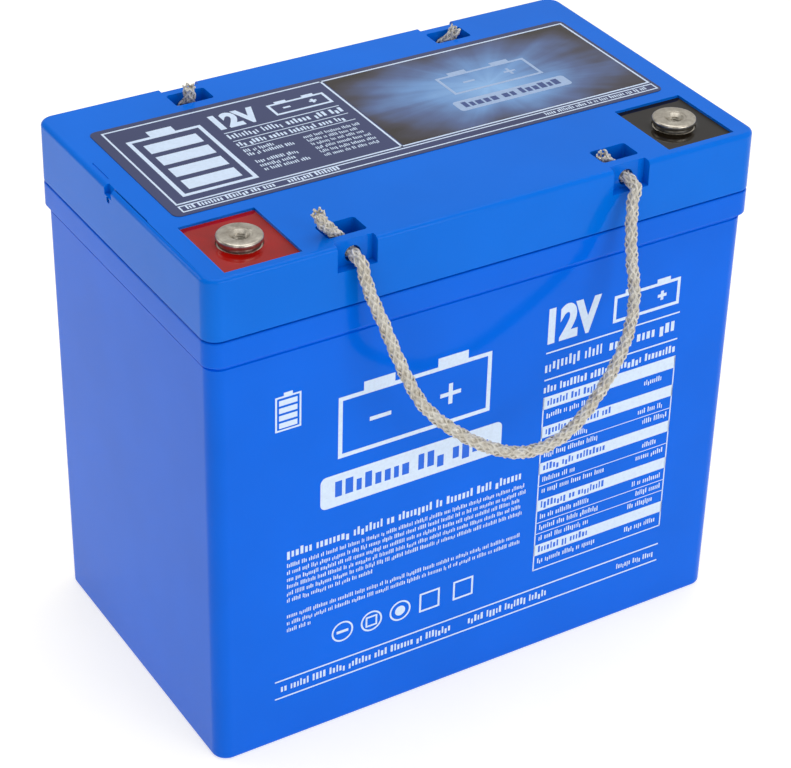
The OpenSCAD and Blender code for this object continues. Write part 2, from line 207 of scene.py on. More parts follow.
def place_mesh(name, mesh, material, body, sharp=30, even_flats=False):
    """Makes a finished piece of a mesh, smooth except where its faces meet sharply."""
    mesh.shade_smooth()
    mesh.set_sharp_from_angle(angle=deg(sharp))
    piece = bpy.data.objects.new(name, mesh)
    bpy.context.scene.collection.objects.link(piece)
    mesh.materials.clear()
    mesh.materials.append(material)
    if even_flats:
        modifier = piece.modifiers.new("Even Flats", "WEIGHTED_NORMAL")
        modifier.keep_sharp = True
        modifier.weight = 80
    if body:
        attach(piece, body)
    return piece


def picked(made, kind):
    """The verts, edges or faces in what a bmesh operator made."""
    return [item for item in made["geom"] if isinstance(item, kind)]


def loft(bm, levels, segments=12):
    """A closed block with round upright corners; levels are (z, length, width, radius), bottom up."""
    z, length, width, radius = levels[0]
    made = bmesh.ops.create_grid(bm, x_segments=1, y_segments=1, size=0.5)
    bmesh.ops.scale(bm, verts=made["verts"], vec=(length, width, 1))
    bmesh.ops.translate(bm, verts=made["verts"], vec=(0, 0, z))
    face = made["verts"][0].link_faces[0]
    if radius:
        bmesh.ops.bevel(bm, geom=made["verts"], offset=radius, offset_type="OFFSET", affect="VERTICES",
                        segments=segments, profile=0.5, material=-1)
        face = next(f for f in bm.faces if len(f.verts) > 4)
    for index, (next_z, next_length, next_width, next_radius) in enumerate(levels[1:]):
        made = bmesh.ops.extrude_face_region(bm, geom=[face])
        if index:
            bmesh.ops.delete(bm, geom=[face], context="FACES_ONLY")
        verts = picked(made, bmesh.types.BMVert)
        face = picked(made, bmesh.types.BMFace)[0]
        bmesh.ops.translate(bm, verts=verts, vec=(0, 0, next_z - z))
        grow = next_radius / radius if radius else 1
        for x, y in ((-1, -1), (-1, 1), (1, -1), (1, 1)):
            corner = [v for v in verts if v.co.x * x > 0 and v.co.y * y > 0]
            centre = Vector((x * (length / 2 - radius), y * (width / 2 - radius), 0))
            target = Vector((x * (next_length / 2 - next_radius), y * (next_width / 2 - next_radius), 0))
            bmesh.ops.scale(bm, verts=corner, vec=(grow, grow, 1), space=Matrix.Translation(-centre))
            bmesh.ops.translate(bm, verts=corner, vec=target - centre)
        z, length, width, radius = next_z, next_length, next_width, next_radius


def block(low, high, radius=0.0, segments=6):
    """A bmesh of a block between two corners, with round upright corners if radius is given."""
    bm = bmesh.new()
    size = Vector(high) - Vector(low)
    loft(bm, [(0, size.x, size.y, radius), (size.z, size.x, size.y, radius)], segments)
    centre = (Vector(high) + Vector(low)) / 2
    bmesh.ops.translate(bm, verts=bm.verts, vec=(centre.x, centre.y, low[2]))
    return bm


def rod(start, end, radius, segments=48):
    """A bmesh of a round bar between two points."""
    bm = bmesh.new()
    start, end = Vector(start), Vector(end)
    along = end - start
    turn = along.to_track_quat("Z", "Y").to_matrix().to_4x4()
    bmesh.ops.create_cone(bm, cap_ends=True, segments=segments, radius1=radius, radius2=radius,
                          depth=along.length, matrix=Matrix.Translation((start + end) / 2) @ turn)
    return bm


def lathe(profile, centre, segments=96):
    """A bmesh of a closed outline of (radius, height) turned round an upright axis."""
    bm = bmesh.new()
    verts = [bm.verts.new((r, 0, z)) for r, z in profile]
    edges = [bm.edges.new((a, b)) for a, b in zip(verts, verts[1:] + verts[:1])]
    bmesh.ops.spin(bm, geom=verts + edges, cent=(0, 0, 0), axis=(0, 0, 1), angle=math.tau,
                   steps=segments, use_merge=True)
    bmesh.ops.translate(bm, verts=bm.verts, vec=centre)
    return bm


def solid(name, bm):
    """A plain object from a bmesh, used as a cutting shape."""
    bmesh.ops.remove_doubles(bm, verts=bm.verts, dist=0.001 * MM)
    bmesh.ops.recalc_face_normals(bm, faces=bm.faces)
    mesh = bpy.data.meshes.new(name)
    bm.to_mesh(mesh)
    bm.free()
    return shape_of(name, mesh)


def shape_of(name, mesh):
    """A plain object from a mesh, used as a cutting shape."""
    shape = bpy.data.objects.new(name, mesh)
    bpy.context.scene.collection.objects.link(shape)
    return shape


def combine(base, shapes, operation="DIFFERENCE"):
    """Cuts the shapes from the base, or joins them to it, and returns the mesh; base and shapes go."""
    for shape in shapes:
        modifier = base.modifiers.new("Cut", "BOOLEAN")
        modifier.operation = operation
        modifier.solver = "EXACT"
        modifier.object = shape
    bpy.context.view_layer.update()
    graph = bpy.context.evaluated_depsgraph_get()
    mesh = bpy.data.meshes.new_from_object(base.evaluated_get(graph))
    for item in [base, *shapes]:
        bpy.data.objects.remove(item)
    return mesh


def soften(mesh, radius, angle=50, segments=3):
    """Merges the flats of a cut mesh and rounds its sharp edges."""
    bm = bmesh.new()
    bm.from_mesh(mesh)
    bmesh.ops.remove_doubles(bm, verts=bm.verts, dist=0.005 * MM)
    bmesh.ops.dissolve_limit(bm, angle_limit=deg(0.5), verts=bm.verts, edges=bm.edges)
    sharp = [e for e in bm.edges if len(e.link_faces) == 2 and e.calc_face_angle(0) > deg(angle)]
    bmesh.ops.bevel(bm, geom=sharp, offset=radius, offset_type="OFFSET", affect="EDGES", segments=segments,
                    profile=0.5, material=-1, clamp_overlap=True)
    bmesh.ops.recalc_face_normals(bm, faces=bm.faces)
    bm.to_mesh(mesh)
    bm.free()
    return mesh


def arc_levels(radius, steps, outline, z, outward):
    """Levels of a rounded edge on an outline of (length, width, corner): growing if outward."""
    length, width, corner = outline
    levels = []
    for k in range(steps + 1):
        a = math.pi / 2 * k / steps
        if outward:
            inset, height = radius * (1 - math.sin(a)), radius * (1 - math.cos(a))
        else:
            inset, height = radius * (1 - math.cos(a)), radius * math.sin(a)
        levels.append((z + height, length - 2 * inset, width - 2 * inset, corner - inset))
    return levels


# ---- Finishes ----

def moulded_abs(tree, where, base):
    """ABS, injection moulded and glossy: a clear gloss over even pigment, with a faint waviness."""
    patches = add_node(tree, "TexNoise", {"Vector": where, "Scale": per_mm(45), "Detail": 2})
    pigment = add_node(tree, "ValToRGB", {"Fac": patches}, stops=[
        (0.3, rgba(base, 0.95)), (0.7, rgba(base, 1.04))])
    waves = add_node(tree, "TexNoise", {"Vector": where, "Scale": per_mm(9), "Detail": 2})
    grain = add_node(tree, "TexNoise", {
        "Vector": where, "Scale": per_mm(0.35), "Detail": 4, "Roughness": 0.6})
    wavy = add_node(tree, "Bump", {"Height": waves, "Distance": 0.03 * MM})
    fine = add_node(tree, "Bump", {"Height": grain, "Distance": 0.0012 * MM, "Normal": wavy})
    gloss = add_node(tree, "MapRange", {"Value": grain, "To Min": 0.07, "To Max": 0.13})
    return add_node(tree, "BsdfPrincipled", {
        "Base Color": pigment, "Roughness": gloss, "IOR": 1.2, "Normal": fine})


def printed_film(tree, where, base):
    """Polyester film, printed on its back: a smooth gloss over a dark ground with faint drift of ink."""
    drift = add_node(tree, "TexNoise", {"Vector": where, "Scale": per_mm(60), "Detail": 2})
    ground = add_node(tree, "ValToRGB", {"Fac": drift}, stops=[
        (0.3, rgba(base, 0.88)), (0.7, rgba(base, 1.1))])
    swell = add_node(tree, "TexNoise", {"Vector": where, "Scale": per_mm(14), "Detail": 2})
    uneven = add_node(tree, "Bump", {"Height": swell, "Distance": 0.02 * MM})
    grain = add_node(tree, "TexNoise", {"Vector": where, "Scale": per_mm(0.5), "Detail": 3})
    gloss = add_node(tree, "MapRange", {"Value": grain, "To Min": 0.16, "To Max": 0.26})
    return add_node(tree, "BsdfPrincipled", {
        "Base Color": ground, "Roughness": gloss, "IOR": 1.4, "Normal": uneven})


def screen_ink(tree, where, base):
    """Screen-printed ink: a thin, slightly uneven, satin layer."""
    cover = add_node(tree, "TexNoise", {
        "Vector": where, "Scale": per_mm(1.2), "Detail": 4, "Roughness": 0.6})
    ink = add_node(tree, "ValToRGB", {"Fac": cover}, stops=[(0.25, rgba(base, 0.9)), (0.6, rgba(base))])
    mesh_marks = add_node(tree, "TexNoise", {"Vector": where, "Scale": per_mm(0.3), "Detail": 2})
    uneven = add_node(tree, "Bump", {"Height": mesh_marks, "Distance": 0.004 * MM})
    satin = add_node(tree, "MapRange", {"Value": cover, "To Min": 0.3, "To Max": 0.45})
    return add_node(tree, "BsdfPrincipled", {
        "Base Color": ink, "Roughness": satin, "IOR": 1.4, "Normal": uneven})


def sky_picture(tree, where, centre):
    """Offset-printed picture under film: a pale glow whose rays fade into a dark brown-grey sky."""
    wide, tall = 0.064, 0.042  # how far the glow reaches from its centre
    placed = add_node(tree, "Mapping", {
        "Vector": where, "Location": (-centre.x / wide, -centre.y / tall, 0),
        "Scale": (1 / wide, 1 / tall, 0)})
    reach = add_node(tree, "VectorMath", {0: placed}, {"operation": "LENGTH"}).outputs["Value"]
    # Rays: noise read on a circle round the glow, so that it only changes with the angle
    heading = add_node(tree, "VectorMath", {0: placed}, {"operation": "NORMALIZE"})
    rays = add_node(tree, "TexNoise", {"Vector": heading, "Scale": 2.4, "Detail": 3, "Roughness": 0.6})
    clouds = add_node(tree, "TexNoise", {"Vector": placed, "Scale": 1.6, "Detail": 3})
    longer = add_node(tree, "MapRange", {"Value": rays, "From Min": 0.3, "From Max": 0.7,
                                               "To Min": 0.1, "To Max": -0.12})
    thicker = add_node(tree, "MapRange", {"Value": clouds, "From Min": 0.3, "From Max": 0.7,
                                                "To Min": 0.16, "To Max": -0.16})
    uneven = add_node(tree, "Math", {0: longer, 1: thicker}, {"operation": "ADD"})
    fade = add_node(tree, "Math", {0: reach, 1: uneven}, {"operation": "ADD"})
    glow = add_node(tree, "ValToRGB", {"Fac": fade}, stops=[
        (0.0, rgba("#86b0de")), (0.35, rgba("#6890c4")), (0.62, rgba("#4f618c")),
        (0.85, rgba("#3e3d4c")), (1.1, rgba("#2f2927"))])
    return add_node(tree, "BsdfPrincipled", {"Base Color": glow, "Roughness": 0.18, "IOR": 1.4})


def cast_resin(tree, where, base):
    """Epoxy, poured and cured: a mirror-like skin over a deep colour, with a slow swell."""
    depth = add_node(tree, "TexNoise", {"Vector": where, "Scale": per_mm(12), "Detail": 2})
    dye = add_node(tree, "ValToRGB", {"Fac": depth}, stops=[
        (0.3, rgba(base, 0.8)), (0.7, rgba(base, 1.12))])
    swell = add_node(tree, "TexNoise", {"Vector": where, "Scale": per_mm(7), "Detail": 1})
    wavy = add_node(tree, "Bump", {"Height": swell, "Distance": 0.03 * MM})
    haze = add_node(tree, "TexNoise", {"Vector": where, "Scale": per_mm(5), "Detail": 3})
    gloss = add_node(tree, "MapRange", {"Value": haze, "To Min": 0.02, "To Max": 0.06})
    return add_node(tree, "BsdfPrincipled", {
        "Base Color": dye, "Roughness": gloss, "IOR": 1.38, "Normal": wavy})


def tinned_brass(tree, where, centre):
    """Brass, turned and tin plated: a warm grey metal with the rings of the turning tool."""
    centred = add_node(tree, "Mapping", {
        "Vector": where, "Location": (-centre.x, -centre.y, 0), "Scale": (1, 1, 0)})
    reach = add_node(tree, "VectorMath", {0: centred}, {"operation": "LENGTH"}).outputs["Value"]
    feed = 0.25 * MM  # how far the tool moves in a turn
    phase = add_node(tree, "Math", {0: reach, 1: math.tau / feed}, {"operation": "MULTIPLY"})
    rings = add_node(tree, "Math", {0: phase}, {"operation": "SINE"})
    grain = add_node(tree, "TexNoise", {"Vector": where, "Scale": per_mm(0.4), "Detail": 3})
    plated = add_node(tree, "Bump", {"Height": grain, "Distance": 0.004 * MM})
    turned = add_node(tree, "Bump", {
        "Height": rings, "Distance": 0.004 * MM, "Strength": 0.6, "Normal": plated})
    blotch = add_node(tree, "TexNoise", {
        "Vector": where, "Scale": per_mm(2.5), "Detail": 4, "Roughness": 0.6})
    tin = add_node(tree, "ValToRGB", {"Fac": blotch}, stops=[
        (0.3, rgba("#a79f92")), (0.7, rgba("#d0cabd"))])
    dull = add_node(tree, "MapRange", {"Value": blotch, "To Min": 0.26, "To Max": 0.42})
    return add_node(tree, "BsdfPrincipled", {
        "Metallic": 1.0, "Base Color": tin, "Roughness": dull, "Normal": turned})


def cast_lead(tree, where):
    """Lead, gravity cast: dull blue-grey with soft cast grain."""
    grain = add_node(tree, "TexNoise", {
        "Vector": where, "Scale": per_mm(1.5), "Detail": 4, "Roughness": 0.6})
    lead = add_node(tree, "ValToRGB", {"Fac": grain}, stops=[
        (0.3, rgba("#6c7177")), (0.7, rgba("#9aa0a6"))])
    dull = add_node(tree, "MapRange", {"Value": grain, "To Min": 0.5, "To Max": 0.7})
    rough = add_node(tree, "Bump", {"Height": grain, "Distance": 0.08 * MM})
    return add_node(tree, "BsdfPrincipled", {
        "Metallic": 1.0, "Base Color": lead, "Roughness": dull, "Normal": rough})


def dioxide_paste(tree, where):
    """Lead dioxide paste, pressed into a grid: matt chocolate brown with a coarse grain."""
    grain = add_node(tree, "TexNoise", {
        "Vector": where, "Scale": per_mm(0.8), "Detail": 5, "Roughness": 0.7})
    paste = add_node(tree, "ValToRGB", {"Fac": grain}, stops=[
        (0.3, rgba("#3d2a20")), (0.7, rgba("#5e4334"))])
    rough = add_node(tree, "Bump", {"Height": grain, "Distance": 0.1 * MM})
    return add_node(tree, "BsdfPrincipled", {
        "Base Color": paste, "Roughness": 0.9, "Normal": rough})


def glass_mat(tree, where):
    """Glass fibre mat, laid wet: white and matt, with the drift of its fibres."""
    drawn = add_node(tree, "Mapping", {"Vector": where, "Scale": (1, 1, 0.2)})
    fibres = add_node(tree, "TexNoise", {
        "Vector": drawn, "Scale": per_mm(0.3), "Detail": 5, "Roughness": 0.7})
    glass = add_node(tree, "ValToRGB", {"Fac": fibres}, stops=[
        (0.3, rgba("#d9dad6")), (0.7, rgba("#f4f4f0"))])
    felted = add_node(tree, "Bump", {"Height": fibres, "Distance": 0.05 * MM})
    return add_node(tree, "BsdfPrincipled", {
        "Base Color": glass, "Roughness": 0.85, "Sheen Weight": 0.2, "Normal": felted})


def moulded_rubber(tree, where):
    """EPDM rubber, compression moulded: matt black with a faint bloom."""
    bloom = add_node(tree, "TexNoise", {"Vector": where, "Scale": per_mm(3), "Detail": 4})
    rubber = add_node(tree, "ValToRGB", {"Fac": bloom}, stops=[
        (0.3, rgba("#151517")), (0.7, rgba("#26272a"))])
    dull = add_node(tree, "MapRange", {"Value": bloom, "To Min": 0.55, "To Max": 0.75})
    grain = add_node(tree, "TexNoise", {"Vector": where, "Scale": per_mm(0.3), "Detail": 3})
    matt = add_node(tree, "Bump", {"Height": grain, "Distance": 0.01 * MM})
    return add_node(tree, "BsdfPrincipled", {
        "Base Color": rubber, "Roughness": dull, "Normal": matt})


def braided_yarn(tree, where, base):
    """Polypropylene yarn, braided: pearly strands whose filaments run along each strand."""
    # U goes round a strand and V along it, both in millimetres
    apart, drawn_out = 0.2, 2.5
    around = add_node(tree, "UVMap", settings={"uv_map": "Strand"})
    drawn = add_node(tree, "Mapping", {"Vector": around, "Scale": (1 / apart, 1 / drawn_out, 1)})
    filaments = add_node(tree, "TexNoise", {"Vector": drawn, "Scale": 1.0, "Detail": 3})
    yarn = add_node(tree, "ValToRGB", {"Fac": filaments}, stops=[
        (0.3, rgba(base, 0.5)), (0.62, rgba(base, 1.08))])
    soil = add_node(tree, "TexNoise", {"Vector": where, "Scale": per_mm(4), "Detail": 3})
    dust = add_node(tree, "ValToRGB", {"Fac": soil}, stops=[
        (0.35, (0.82, 0.78, 0.72, 1)), (0.6, (1, 1, 1, 1))])
    # Of a colour mix, inputs 6 and 7 are its two colours and output 2 is its result
    worn = add_node(tree, "Mix", {"Factor": 1.0, 6: yarn, 7: dust}, {
        "data_type": "RGBA", "blend_type": "MULTIPLY"}).outputs[2]
    ridges = add_node(tree, "Bump", {"Height": filaments, "Distance": 0.06 * MM})
    sheen = add_node(tree, "MapRange", {"Value": filaments, "To Min": 0.22, "To Max": 0.42})
    return add_node(tree, "BsdfPrincipled", {
        "Base Color": worn, "Roughness": sheen, "IOR": 1.49, "Sheen Weight": 0.1, "Normal": ridges})


def matt_paper(tree, where):
    """Background paper: matt, warm white and lit through, so that its shadows stay pale."""
    pulp = add_node(tree, "TexNoise", {"Vector": where, "Scale": per_mm(30), "Detail": 3})
    paper = add_node(tree, "ValToRGB", {"Fac": pulp}, stops=[
        (0.3, rgba("#cfccc3")), (0.7, rgba("#d2cfc6"))])
    return add_node(tree, "BsdfPrincipled", {
        "Base Color": paper, "Roughness": 0.9, "Specular IOR Level": 0.1,
        "Emission Color": rgba((1, 0.985, 0.95)), "Emission Strength": 0.58})


def finish(kind, name, *values):
    """The named material, made the first time it is asked for; kind adds its nodes and returns its shader."""
    material = bpy.data.materials.get(name)
    if not material:
        material = bpy.data.materials.new(name)
        material.use_nodes = True
        tree = material.node_tree
        tree.nodes.clear()
        where = add_node(tree, "TexCoord").outputs["Object"]
        add_node(tree, "OutputMaterial", {"Surface": kind(tree, where, *values)})
    return material


# ---- Camera and stage ----

class BATTERY_OT_camera(bpy.types.Operator):
    """Places the camera on the stage"""
    bl_idname = "battery.camera"
    bl_label = "Camera"

    def execute(self, context):
        stage = context.scene.battery_stage
        azimuth, elevation, roll = deg(stage.azimuth), deg(stage.elevation), deg(stage.roll)
        back = Vector((math.sin(azimuth) * math.cos(elevation), -math.cos(azimuth) * math.cos(elevation),
                       math.sin(elevation)))
        right = Vector((0, 0, 1)).cross(back).normalized()
        up = back.cross(right)
        right, up = (right * math.cos(roll) + up * math.sin(roll),
                     up * math.cos(roll) - right * math.sin(roll))
        aim_right, aim_up = 0.01669, 0.04255
        target = Vector((0, 0, 0.1)) + right * aim_right + up * aim_up
        data = bpy.data.cameras.new("camera")
        data.lens = stage.lens
        data.shift_x, data.shift_y = -0.0506, -0.1517
        data.clip_start, data.clip_end = 0.01, 100
        camera = bpy.data.objects.new("camera", data)
        camera.matrix_world = Matrix.Translation(target + back * stage.distance) @ Matrix(
            (right, up, back)).transposed().to_4x4()
        context.scene.collection.objects.link(camera)
        context.scene.camera = camera
        return {"FINISHED"}


def softbox(name, place, aim, size, power):
    """A white area light at a place, aimed at a point."""
    data = bpy.data.lights.new(name, "AREA")
    data.shape, data.size, data.size_y = "RECTANGLE", size[0], size[1]
    data.energy = power
    lamp = bpy.data.objects.new(name, data)
    lamp.location = place
    lamp.rotation_euler = (Vector(aim) - Vector(place)).to_track_quat("-Z", "Y").to_euler()
    bpy.context.scene.collection.objects.link(lamp)


class BATTERY_OT_stage(bpy.types.Operator):
    """Lays the pale floor and sets the soft light"""
    bl_idname = "battery.stage"
    bl_label = "Stage"

    def execute(self, context):
        bm = bmesh.new()
        floor_half = 4.0
        bmesh.ops.create_grid(bm, x_segments=1, y_segments=1, size=floor_half)
        make_piece("floor", bm, finish(matt_paper, "matt_background_paper"), None)
        world = bpy.data.worlds.new("room")
        world.use_nodes = True
        tree = world.node_tree
        tree.nodes.clear()
        # The room is lighter on the right, where its windows are
        heading = add_node(tree, "TexCoord").outputs["Generated"]
        split = add_node(tree, "SeparateXYZ", {0: heading})
        level = context.scene.battery_stage.world
        strength = add_node(tree, "MapRange", {
            "Value": split, "From Min": -1.0, "To Min": 0.4 * level, "To Max": 1.2 * level})
        light = add_node(tree, "Background", {"Color": (1, 1, 1, 1), "Strength": strength})
        add_node(tree, "OutputWorld", {"Surface": light})
        context.scene.world = world
        softbox("overhead", (0.05, 0.1, 1.3), (0, 0, 0.1), (1.2, 1.2), 7.5)
        softbox("front_fill", (0.3, -1.4, 0.7), (0, 0, 0.1), (0.9, 0.7), 6.5)
        softbox("corner_fill", (-1.0, -1.1, 0.5), (-0.1, -0.07, 0.15), (0.6, 0.6), 2.2)
        softbox("left_floor", (-0.7, 0.5, 0.45), (-0.4, 0.28, 0), (0.4, 0.4), 1.1)
        return {"FINISHED"}


# ---- Rope handles ----

# The hanging loop, from its left hinge to its right one, as in the CAD part
FRONT_LOOP = [
    (-57, -71.5, 201.5), (-56.5, -73.5, 196), (-55, -76, 189), (-53, -79, 182), (-51, -82, 174),
    (-49, -84.5, 167), (-46.5, -87, 159.5), (-43, -90, 151.5), (-37.5, -92.5, 144.5), (-31, -95, 138.5),
    (-24, -97, 133), (-16.5, -98.5, 128.5), (-8, -99.5, 125), (1, -100, 124), (9.5, -99.5, 125),
    (17, -98.5, 128), (24, -97, 132.5), (30, -95.5, 137.5), (36, -93.5, 143), (41, -91.5, 148.5),
    (45.5, -89, 155), (48.5, -86.5, 162), (50, -84, 169), (50.5, -81, 177), (51.5, -78, 186),
    (53, -75.5, 193), (55, -73, 198.5), (57, -71.5, 201.5)]
# The ends, each from its tip, through the knot and the hole, to the notch
FRONT_LEFT_END = [
    (-68, -60, 219.5), (-66.5, -59.8, 216), (-64.5, -59.4, 213), (-62, -58.8, 210.3), (-59.5, -58.4, 207.3),
    (-57.6, -59, 204.6), (-57, -61.5, 203.2), (-57, -65, 203), (-57, -67.9, 202.9)]
FRONT_RIGHT_END = [
    (51.5, -57, 210), (53, -57, 207.8), (55, -57.6, 205.4), (56.6, -59, 203.8), (57, -61.5, 203.1),
    (57, -65, 203), (57, -67.9, 202.9)]
BACK_LEFT_END = [
    (-58, 55.5, 214), (-57.6, 56, 211), (-57, 57.3, 208), (-57, 58.8, 205.2), (-57, 61.5, 203.3),
    (-57, 65, 203), (-57, 67.9, 202.9)]
BACK_RIGHT_END = [
    (60.5, 56.5, 211.5), (59, 57, 209), (57.8, 57.8, 206.3), (57, 59.2, 204.2), (57, 61.5, 203.2),
    (57, 65, 203), (57, 67.9, 202.9)]


def smooth_path(points, step):
    """Points about a step apart on the smooth curve through the given ones."""
    points = [Vector(p) for p in points]
    ends = [2 * points[0] - points[1], *points, 2 * points[-1] - points[-2]]
    path = []
    for a, b, c, d in zip(ends, ends[1:], ends[2:], ends[3:]):
        count = max(2, round((c - b).length / step))
        for k in range(count):
            t = k / count
            path.append(0.5 * (2 * b + (c - a) * t + (2 * a - 5 * b + 4 * c - d) * t * t
                               + (3 * b - a - 3 * c + d) * t ** 3))
    return [*path, points[-1]]


def path_length(path):
    """How long a path of points is."""
    return sum((b - a).length for a, b in zip(path, path[1:]))


def carried_frames(path):
    """For each point, two directions across the path that turn as little as they can."""
    across = Vector((0, 0, 1)).cross(path[1] - path[0]).normalized()
    frames = []
    for k, point in enumerate(path):
        along = (path[min(k + 1, len(path) - 1)] - path[max(k - 1, 0)]).normalized()
        across = (across - along * across.dot(along)).normalized()
        frames.append((point, along, across, along.cross(across)))
    return frames


STRAND_SIDES = 6
STRAND_SIDE_MM = 0.6  # how far round the strand one of its sides goes
# A strand's shares: its middle's height and its thickness of the rope's radius, and its width of its lane
STRAND_HEIGHT, STRAND_THICKNESS, STRAND_WIDTH = 0.80, 0.16, 0.45
STRAND_SWAY = 0.95  # how far it rises and sinks, of its thickness
FLARE_LENGTH = 0.0025
# The turn of rope that stands for a knot, in millimetres
KNOT_RADIUS, KNOT_Y, KNOT_Z, KNOT_PITCH, KNOT_STEPS = 2.2, 60.5, 203.4, 0.6, 24


class Braid:
    """Collects the strands and core of a braided rope."""

    def __init__(self):
        self.verts, self.faces, self.uvs, self.slots = [], [], [], []

    def tube(self, rings, lengths, slot=0):
        """Joins rings of points into a closed tube."""
        first, sides, before = len(self.verts), len(rings[0]), len(self.faces)
        self.verts += [p for ring in rings for p in ring]
        for i in range(len(rings) - 1):
            for k in range(sides):
                a, b = first + i * sides + k, first + i * sides + (k + 1) % sides
                self.faces.append((a, b, b + sides, a + sides))
                near, far = k * STRAND_SIDE_MM, (k + 1) * STRAND_SIDE_MM
                self.uvs += [(near, lengths[i]), (far, lengths[i]),
                             (far, lengths[i + 1]), (near, lengths[i + 1])]
        for base, turn in ((first, -1), (first + (len(rings) - 1) * sides, 1)):
            self.faces.append(tuple(base + k for k in range(sides))[::turn])
            self.uvs += [(0, 0)] * sides
        self.slots += [slot] * (len(self.faces) - before)

    def cover(self, path, diameter, lay, strands, flare=0.0):
        """Braids flat strands over a path, half each way, each rising and sinking as it goes."""
        frames = carried_frames(path)
        radius = diameter / 2
        half = strands // 2
        middle = radius * STRAND_HEIGHT
        half_wide = math.pi * middle / half * STRAND_WIDTH
        half_thick = radius * STRAND_THICKNESS
        total = path_length(path)
        for strand in range(strands):
            way = 1 if strand % 2 else -1
            rings, lengths, reach = [], [], 0.0
            for k, (point, along, u, v) in enumerate(frames):
                if k:
                    reach += (point - frames[k - 1][0]).length
                turn = reach / lay
                angle = way * math.tau * turn + math.tau * (strand // 2) / half
                wave = math.sin(math.tau * turn * half + math.pi * (strand // 2) + math.pi / 2)
                end = max(0.0, 1 - min(reach, total - reach) / FLARE_LENGTH)
                out = middle + way * wave * half_thick * STRAND_SWAY + flare * radius * end * end
                radial = u * math.cos(angle) + v * math.sin(angle)
                round_it = v * math.cos(angle) - u * math.sin(angle)
                slope = math.atan2(math.tau * middle, lay) * way
                side = round_it * math.cos(slope) - along * math.sin(slope)
                turns = (math.tau * j / STRAND_SIDES for j in range(STRAND_SIDES))
                rings.append([point + radial * (out + half_thick * math.sin(a))
                              + side * half_wide * math.cos(a) for a in turns])
                lengths.append(reach / MM)
            self.tube(rings, lengths)

    def core(self, path, radius, sides=10):
        """A round core that closes the gaps between the strands; it takes the second slot, whose dark yarn is
        painted shade in those gaps.
        """
        frames = carried_frames(path)
        rings = [[p + (u * math.cos(a) + v * math.sin(a)) * radius
                  for a in (math.tau * j / sides for j in range(sides))] for p, _, u, v in frames]
        self.tube(rings, [0.0] * len(rings), 1)

    def mesh(self, name):
        """The collected tubes as one mesh, with the map that the yarn's pattern follows."""
        mesh = bpy.data.meshes.new(name)
        mesh.from_pydata(self.verts, [], self.faces)
        layer = mesh.uv_layers.new(name="Strand")
        layer.data.foreach_set("uv", [c for uv in self.uvs for c in uv])
        mesh.polygons.foreach_set("material_index", self.slots)
        mesh.update()
        # Strands that run the other way come out inside out
        bm = bmesh.new()
        bm.from_mesh(mesh)
        bmesh.ops.recalc_face_normals(bm, faces=bm.faces)
        bm.to_mesh(mesh)
        bm.free()
        return mesh


class BATTERY_OT_rope_handles(bpy.types.Operator):
    """Braids the two rope handles, each from tip to tip through its knots and holes"""
    bl_idname = "battery.rope_handles"
    bl_label = "Rope Handles"

    def rope(self, context, side, left_end, loop, right_end):
        """Braids one rope and its knots."""
        settings = context.scene.battery_rope
        diameter, lay = settings.diameter * MM, settings.lay * MM
        route = [Vector(p) * MM for p in [*left_end, *loop, *reversed(right_end)]]
        step = 0.7 * MM
        path = smooth_path(route, step)
        braid = Braid()
        braid.cover(path, diameter, lay, settings.strands, flare=0.04)
        braid.core(path[2:-2:3], diameter * 0.36)
        # A turn of the rope pulled tight behind each hole, as its knot
        sign = -1 if side == "front" else 1
        for x in (-57, 57):
            turn = [Vector((x + math.cos(a) * KNOT_RADIUS, sign * (KNOT_Y - KNOT_PITCH * a / math.tau),
                            KNOT_Z + math.sin(a) * KNOT_RADIUS)) * MM
                    for a in (math.tau * k / KNOT_STEPS for k in range(KNOT_STEPS + 1))]
            braid.cover(turn, 2.4 * MM, lay / 2, 8)
        material = finish(braided_yarn, "braided_polypropylene_yarn", context.scene.battery_colours.rope[:])
        piece = place_mesh(side + "_rope", braid.mesh(side + "_rope"), material, None, 60)
        # Painted shade: the core's dark brown-grey yarn stands for the shade in the gaps between the strands
        shade = finish(braided_yarn, "braid_core_painted_shade", "#38332a")
        piece.data.materials.append(shade)
        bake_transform(piece)
        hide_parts(side + "_rope_handle", side + "_rope_ends")

    def execute(self, context):
        self.rope(context, "front", FRONT_LEFT_END, FRONT_LOOP, FRONT_RIGHT_END)
        back_loop = [(x, -y, z) for x, y, z in FRONT_LOOP]
        self.rope(context, "back", BACK_LEFT_END, back_loop, BACK_RIGHT_END)
        return {"FINISHED"}


# ---- Case and lid ----

def post_axis(side):
    """Where a terminal's upright axis stands."""
    near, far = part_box(side + "_terminal")
    return (near.x + far.x) / 2, (near.y + far.y) / 2


def wall_inset(shape, z):
    """How far the drafted wall stands inside the rim at height z."""
    rim_z = CASE_HIGH.z - shape["rim_height"]
    share = (rim_z - z) / (rim_z - shape["foot_radius"])
    return shape["wall_inset"] + share * (shape["base_inset"] - shape["wall_inset"])


def cell_blocks(shape, low_z, high_z):
    """The six cells' hollows between two heights."""
    length = CASE_HIGH.x * 2 - 2 * (shape["base_inset"] + shape["wall"])
    half_width = CASE_HIGH.y - shape["base_inset"] - shape["wall"]
    cell = (length - (CELLS - 1) * shape["partition"]) / CELLS
    starts = [-length / 2 + k * (cell + shape["partition"]) for k in range(CELLS)]
    corner = 2 * MM
    return [solid("cell", block((x, -half_width, low_z), (x + cell, half_width, high_z), corner, 4))
            for x in starts]


